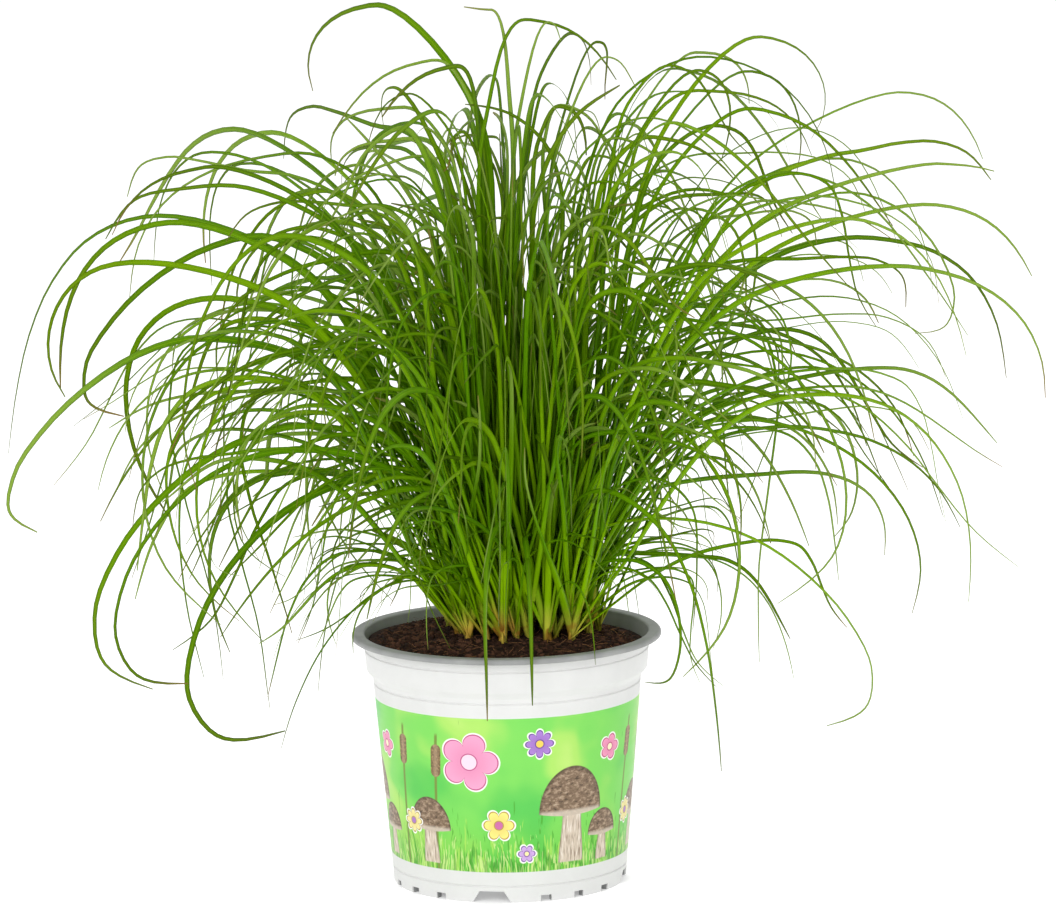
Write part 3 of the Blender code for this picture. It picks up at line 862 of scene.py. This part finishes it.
def smoothPath(points, count):  # points on a smooth curve through the given ones, closer where it bends
    spots = np.array([tuple(point) for point in points])
    knots = np.concatenate(([0], np.cumsum(np.linalg.norm(np.diff(spots, axis=0), axis=1) ** 0.75)))
    slopes = np.diff(spots, axis=0) / np.diff(knots)[:, None]
    ahead, behind = np.diff(knots)[1:, None], np.diff(knots)[:-1, None]
    inner = (slopes[:-1] * ahead + slopes[1:] * behind) / (ahead + behind)
    tangents = np.vstack(([1.5 * slopes[0] - 0.5 * inner[0]], inner, [1.5 * slopes[-1] - 0.5 * inner[-1]]))
    fine = []
    for start, end, slope, after, gap in zip(spots, spots[1:], tangents, tangents[1:], np.diff(knots)):
        for t in np.linspace(0, 1, 24, endpoint=False):
            fine.append(
                start * (2 * t ** 3 - 3 * t ** 2 + 1) + slope * gap * (t ** 3 - 2 * t ** 2 + t)
                + end * (3 * t ** 2 - 2 * t ** 3) + after * gap * (t ** 3 - t ** 2)
            )
    fine = np.array(fine + [spots[-1]])
    steps = np.diff(fine, axis=0)
    lengths = np.linalg.norm(steps, axis=1)
    headings = steps / lengths[:, None]
    bends = np.concatenate(([0], np.linalg.norm(np.diff(headings, axis=0), axis=1)))
    measure = np.concatenate(([0], np.cumsum(lengths + 0.035 * bends)))
    wanted = np.linspace(0, measure[-1], count)
    return np.stack([np.interp(wanted, measure, fine[:, axis]) for axis in range(3)], axis=1)


def cubic(points, t):
    a, b, c, d = points
    rest = 1 - t
    return a * rest ** 3 + b * (3 * rest * rest * t) + c * (3 * rest * t * t) + d * t ** 3


def leafArc(base, direction, top, tip, droop, share=0.45):  # guide points from a leaf's stem to its tip
    out = heading(radians(direction))
    up = Vector((0, 0, 1))
    crown = tuftAxis + out * top[0] * mm + up * top[1] * mm
    end = tuftAxis + out * tip[0] * mm + up * tip[1] * mm
    rise = crown - base
    flat = hypot(rise.x, rise.y)
    away = Vector((rise.x, rise.y, 0)).normalized()
    lean = share * Vector((flat, rise.z)).angle(Vector((0, 1)))
    pull = 0.42 * rise.length
    arch = min(pull, 0.5 * flat + 0.012)
    curl = (end - crown).length * (0.33 + 0.22 * min(200, abs(droop)) / 180)
    hang = radians(droop)
    first = base + (up * cos(lean) + away * sin(lean)) * pull
    onward = out * cos(hang) + up * sin(hang)  # the way the tip points
    if end.z > crown.z:  # a leaf that stands up to its tip
        return [cubic((base, first, end - onward * pull, end), step / 10) for step in range(11)]
    rising = (base, first, crown - out * arch, crown)
    falling = (crown, crown + out * curl, end - onward * curl, end)
    return [cubic(rising, step / 5) for step in range(6)] + [cubic(falling, step / 5) for step in range(1, 6)]


def envelope(out, direction):  # mm, the tuft's height this far out, lower on the left
    return tuft["crown"] - (tuft["crownFall"] - tuft["crownTilt"] * cos(radians(direction))) * out


def mostOut(direction):  # mm from the tuft's axis to the solids' box
    turn = radians(direction)
    ways = []
    for step, axis in ((cos(turn), 0), (sin(turn), 1)):
        edge = cadBox[1][axis] if step > 0 else cadBox[0][axis]
        ways.append((edge - tuft["centre"][axis]) / step / mm if abs(step) > 0.01 else 1000)
    return min(ways)


def clearOfPot(points):  # and not hanging down in front of it either
    inside, outside, room = (value * mm for value in tuft["rimRoom"])
    above = pot["rimHeight"] * mm + room
    path = [start.lerp(end, step / 4) for start, end in zip(points, points[1:]) for step in range(1, 5)]
    risen = next(number for number, point in enumerate(path) if point.z > above)
    if hypot(path[risen].x, path[risen].y) > inside:
        return False
    return all(
        point.z > above or hypot(point.x, point.y) > outside < max(abs(point.x), point.y)
        for point in path[risen:]
    )


def drawArc(draw, base, direction, reach, height, kinds=leafKinds):  # guide points, direction and width
    topRoom, tipRoom = tuft["boxRoom"]
    leastOut, leastTip, leastTop = tuft["least"]
    own = tuft["ownHeight"]
    shares = [kind[0] for kind in kinds]
    for _ in range(tuft["tries"]):
        _, outs, tops, beyond, below, droops, turn, widths = draw.choices(kinds, shares)[0]
        way = direction + draw.gauss(0, turn)
        out = min(reach * draw.uniform(*outs), mostOut(way) - topRoom)
        top = draw.uniform(*tops) * (own * height + (1 - own) * envelope(out, way))
        tipOut = min(max(out + draw.uniform(*beyond), leastOut), mostOut(way) - tipRoom)
        tip = (tipOut, max(top - draw.uniform(*below), leastTip))
        droop = draw.uniform(*droops)
        points = leafArc(base, way, (out, max(top, leastTop)), tip, droop, draw.uniform(*tuft["lean"]))
        if clearOfPot(points):
            break
    return points, way, draw.uniform(*widths)


def leafGuide(name, leaves):  # a polyline for each leaf, with what the blades need
    mesh = bpy.data.meshes.new(name)
    verts, edges, sides = [], [], []
    each = ("blade", "twist", "fold", "tone", "dry", "wave")
    data = {key: [] for key in ("along", "sheath", *each)}
    for leaf in leaves:
        path = leaf["path"]
        run = np.concatenate(([0], np.cumsum(np.linalg.norm(np.diff(path, axis=0), axis=1))))
        first = len(verts)
        verts += [tuple(point) for point in path]
        edges += [(first + n, first + n + 1) for n in range(len(path) - 1)]
        data["along"] += list(run / run[-1])
        data["sheath"] += list(np.clip(1 - run / (leaf["sheath"] * mm), 0, 1))
        for key in each:
            data[key] += [leaf[key]] * len(path)
        turn = radians(leaf["direction"])
        sides += [-sin(turn), cos(turn), 0] * len(path)
    mesh.from_pydata(verts, edges, [])
    for key, values in data.items():
        mesh.attributes.new(key, "FLOAT", "POINT").data.foreach_set("value", values)
    mesh.attributes.new("side", "FLOAT_VECTOR", "POINT").data.foreach_set("vector", sides)
    return newPiece(name, mesh)


def bladeTree(material):  # turns each polyline into a folded, tapering, twisting leaf
    tree, given = newTree("bladeLoft", "Thickness", "Sheath width", "Wave size", "Wave scale", "Seed")

    def named(name, kind="FLOAT"):
        return shapeNode(tree, "InputNamedAttribute", {"Name": name}, data_type=kind)

    def store(shape, name, value, kind="FLOAT"):
        inputs = {"Geometry": shape, "Name": name, "Value": value}
        return shapeNode(tree, "StoreNamedAttribute", inputs, data_type=kind, domain="POINT")

    curve = shapeNode(tree, "MeshToCurve", {"Mesh": given["Geometry"]})
    along = named("along")
    drift = noise(position(tree), given["Wave scale"], 1.0, 0.5, given["Seed"], "Color")
    waves = times(times(given["Wave size"], named("wave")), span(along, 0.12, 1.0))
    sway = scaled(vector("SUBTRACT", drift, (0.5, 0.5, 0.5)), waves)
    curve = shapeNode(tree, "SetPosition", {"Geometry": curve, "Offset": sway})

    tangent = shapeNode(tree, "InputTangent")
    side = named("side", "FLOAT_VECTOR")
    lengthwise = scaled(tangent, vector("DOT_PRODUCT", side, tangent))
    across = vector("NORMALIZE", vector("SUBTRACT", side, lengthwise))
    inputs = {"Vector": across, "Axis": tangent, "Angle": times(named("twist"), span(along, 0.05, 0.6))}
    turned = addNode(tree, "ShaderNodeVectorRotate", inputs, rotation_type="AXIS_ANGLE").outputs[0]
    curve = shapeNode(tree, "SetCurveNormal", {"Curve": curve, "Normal": turned}, mode="FREE")
    curve = store(curve, "upper", vector("CROSS_PRODUCT", tangent, turned), "FLOAT_VECTOR")

    taper = addNode(tree, "ShaderNodeFloatCurve", {"Value": along})
    points = taper.mapping.curves[0].points
    start, *middle, end = tuft["taper"]
    for place in middle:
        points.new(*place)
    points[0].location = start
    points[-1].location = end
    taper.mapping.update()
    wider = span(named("sheath"), 0.0, 0.9, 1.0, given["Sheath width"])
    curve = store(curve, "half", times(times(named("blade"), taper.outputs[0]), wider))
    curve = shapeNode(tree, "SetCurveRadius", {"Curve": curve, "Radius": 1.0})

    circle = {"Resolution": tuft["sides"], "Radius": 1.0}
    ring = shapeNode(tree, "CurvePrimitiveCircle", circle)
    x, y, _ = separate(position(tree))
    ring = store(store(ring, "across", x), "face", y)
    flat = combine(x, times(y, given["Thickness"]))
    ring = shapeNode(tree, "SetPosition", {"Geometry": ring, "Position": flat})
    inputs = {"Curve": curve, "Profile Curve": ring, "Scale": named("half"), "Fill Caps": True}
    loft = shapeNode(tree, "CurveToMesh", inputs)

    outward = calc("POWER", calc("ABSOLUTE", named("across")), 1.2)
    folded = times(named("fold"), span(named("along"), 0.0, 0.9, 1.0, 0.45))
    deeper = plus(folded, times(named("sheath"), 0.55))
    lift = times(times(minus(outward, 0.4), deeper), named("half"))
    offset = scaled(named("upper", "FLOAT_VECTOR"), lift)
    loft = shapeNode(tree, "SetPosition", {"Geometry": loft, "Offset": offset})
    endTree(tree, loft, material)
    return tree


def makeLeafMaterial():
    gloss = {"Specular_IOR_Level": 0.2, "Specular_Tint": rgb(198, 214, 96)}
    material, tree, shader = newMaterial("sedgeLeaf", Roughness=0.5, **gloss)
    names = ("along", "sheath", "across", "tone", "face", "dry")
    along, sheath, across, tone, face, dry = attributes(tree, *names)
    place = objectPlace(tree)
    patch = noise(place, 55.0, 3.0, 0.55)
    foot = ((0.0, 118, 172, 0), (0.16, 98, 158, 0), (0.42, 82, 138, 0))
    green = ramp(along, *foot, (0.72, 88, 126, 4), (0.9, 84, 104, 20), (1.0, 88, 84, 44))
    light = ramp(tone, (0.0, 46, 92, 0), (0.5, 88, 144, 0), (1.0, 150, 194, 8))
    pale = ramp(patch, (0.3, 206, 218, 60), (0.5, 236, 226, 88), (0.66, 236, 184, 80))
    stripes = calc("COSINE", times(across, 34.0))
    midrib = span(calc("ABSOLUTE", across), 0.16, 0.03)
    under = times(span(face, 0.05, -0.3), span(along, 0.6, 0.88, 0.0, 0.5))
    # pale lime leaf feet: partly the sheaths' own paler green, partly painted light that brightens the low
    # leaves
    limeFootAndPaintedLight = times(span(sheath, 0.0, 0.6), span(tone, 0.0, 0.7, 0.3, 0.85))
    sheathed = times(span(sheath, 0.62, 0.92), span(tone, 0.1, 0.7, 0.25, 0.95))
    rust = times(span(sheath, 0.72, 0.9), span(noise(place, 120.0), 0.54, 0.62))
    green = coat(
        green,
        (span(along, 0.5, 0.95, 0.55, 0.2), light),  # each leaf's own green
        (span(patch, 0.35, 0.7, 0.0, 0.3), rgb(54, 98, 0)),
        (span(stripes, -1, 1, 0.0, 0.14), rgb(128, 174, 10)),
        (times(midrib, 0.35), rgb(142, 188, 20)),
        (under, rgb(156, 188, 84)),
        # painted light on the leaf feet, laid over their own paler green
        (limeFootAndPaintedLight, rgb(140, 188, 0)),
        (sheathed, pale),
        (times(rust, 0.7), rgb(168, 92, 34)),
        (span(sheath, 0.84, 0.95, 0.0, 0.5), rgb(112, 70, 36)),  # stained by the soil
        (times(span(along, 0.93, 1.0), dry), rgb(140, 112, 62)),  # dry tips
    )
    feed(shader.inputs["Base Color"], green)
    feed(shader.inputs["Roughness"], span(patch, 0.3, 0.7, 0.38, 0.52))
    bump(shader, plus(stripes, times(midrib, -2.0)), 0.00005, 0.5)
    return material


def makeLeaf(draw, foot, points, direction, width, wave=1.0):
    return {
        "path": smoothPath([foot] + points, tuft["points"]),
        "direction": direction,
        "blade": width * mm / 2,
        "twist": draw.choice((-1, 1)) * draw.uniform(*tuft["twist"]),
        "fold": draw.uniform(*tuft["fold"]),
        "tone": draw.random() * min(1.0, 0.2 + width / tuft["fullTone"]),
        "dry": draw.random() ** 3,
        "sheath": draw.uniform(*tuft["sheath"]),
        "wave": wave,
    }


def edgeLeafOwners(stems):  # each goes to the shoot that stands nearest to its side
    owners = {}
    for row in edgeLeaves:
        side = tuftAxis + heading(radians(row[0])) * edgeFoot
        nearest = min(stems, key=lambda name: (stems[name].to_2d() - side.to_2d()).length)
        owners.setdefault(nearest, []).append(row)
    return owners


def ownLeaves(draw, solid, foot):  # the leaves that the shoot's solid has
    plain, leftWider = tuft["sideWidth"]
    calm, sideTwist = tuft["sideTwist"]
    for rank, path in enumerate(solid):
        away = (path[-1] - tuftAxis).to_2d()
        direction = degrees(atan2(away.y, away.x))
        width = draw.uniform(*tuft["leadWidths" if rank == 0 else "widths"])
        sideways = cos(radians(direction))
        leaf = makeLeaf(draw, foot, path, direction, width * (plain - leftWider * sideways), tuft["ownWave"])
        leaf["twist"] *= calm + sideTwist * abs(sideways)
        yield leaf


def fillerLeaves(draw, main, ground, crown):  # the leaves between the main ones
    reach = max(tuft["reachLeast"], (crown - tuftAxis).to_2d().length / mm)
    spread = heading(radians(main + draw.uniform(50, 130)))
    for _ in range(round(tuft["fillers"] - tuft["leftward"] * cos(radians(main)) + draw.uniform(-1, 1))):
        base = ground + spread * draw.uniform(-1, 1) * tuft["fan"] * mm
        points, way, width = drawArc(draw, base, main, reach, crown.z / mm)
        root = base - (points[1] - base).normalized() * tuft["rootDepth"] * mm
        yield makeLeaf(draw, root, points, way, width)


def fringeLeaves(draw, foot, outward, ground):  # low leaves over the rim, on the shoots at the tuft's edge
    if outward.to_2d().length < tuft["fringeFrom"] * mm:
        return
    amount, leftward = tuft["fringe"]
    side = degrees(atan2(outward.y, outward.x))
    for _ in range(round(amount - leftward * cos(radians(side)) + draw.uniform(-0.5, 0.5))):
        points, way, width = drawArc(draw, ground, side, *tuft["fringeReach"], lowKinds)
        yield makeLeaf(draw, foot, points, way, width)


def makeShoots():
    tree = bladeTree(makeLeafMaterial())
    values = {
        "Thickness": tuft["thickness"], "Sheath width": tuft["sheathWidth"],
        "Wave size": tuft["waveSize"], "Wave scale": tuft["waveScale"],
    }
    nodes = sorted(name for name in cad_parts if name.startswith("shoot_"))
    solids = {name: solidLeaves(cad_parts[name]) for name in nodes}
    owners = edgeLeafOwners({name: solid[0][0] for name, solid in solids.items()})
    faces = 0
    for number, name in enumerate(nodes):
        draw = random.Random(tuft["seed"] + number)
        lead = solids[name][0]
        stem = lead[0]
        ground = stem - Vector((0, 0, tuft["stemHeight"] * mm))
        foot = ground - Vector((0, 0, tuft["rootDepth"] * mm))
        leaves = list(ownLeaves(draw, solids[name], foot))
        leaves += fillerLeaves(draw, leaves[0]["direction"], ground, max(lead, key=lambda point: point.z))
        for direction, top, tip, droop in owners.get(name, ()):
            points = leafArc(stem, direction, top, tip, droop)
            leaves.append(makeLeaf(draw, foot, points, direction, draw.uniform(*tuft["edgeWidths"])))
        leaves += fringeLeaves(draw, foot, stem - tuftAxis, ground)
        piece = leafGuide("sedge" + name.title().replace("_", ""), leaves)
        grow(piece, tree, {**values, "Seed": number})
        faces += len(piece.data.polygons)
        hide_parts(name)
        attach(piece, "root")
    print("shoots grown:", len(nodes), "with", faces, "faces")


makeShoots()


# studio: pale floor and soft lights

studio = {
    "floorSize": 14.0,  # metres
    "floorColour": rgb(250, 250, 250),
    "floorGlow": 0.30,
    "world": 0.70,
    "aim": (0, 0, 0.15),
    "lights": (  # name, place, size, power
        ("key", (-0.9, -2.3, 1.5), 1.3, 30),
        ("fill", (1.9, -1.6, 1.0), 1.6, 7),
        ("top", (0.2, 0.9, 2.4), 1.8, 16),
    ),
}


def makeStudio():
    bpy.context.scene.view_settings.view_transform = "Standard"
    mesh = bmesh.new()
    bmesh.ops.create_grid(mesh, x_segments=1, y_segments=1, size=studio["floorSize"] / 2)
    floor = fromBmesh("studioFloor", mesh)
    glow = {"Emission_Color": (1, 1, 1, 1), "Emission_Strength": studio["floorGlow"]}
    material, _, _ = newMaterial("paleFloor", Base_Color=studio["floorColour"], Roughness=0.9, **glow)
    floor.data.materials.append(material)
    for name, place, size, power in studio["lights"]:
        data = bpy.data.lights.new(name, "AREA")
        data.size = size
        data.energy = power
        light = newPiece(name, data)
        light.location = place
        light.rotation_euler = (Vector(studio["aim"]) - Vector(place)).to_track_quat("-Z", "Y").to_euler()
    world = bpy.data.worlds.new("studio")
    world.use_nodes = True
    backdrop = world.node_tree.nodes["Background"].inputs
    backdrop["Color"].default_value = (1, 1, 1, 1)
    backdrop["Strength"].default_value = studio["world"]
    bpy.context.scene.world = world


makeStudio()
print("studio lit")
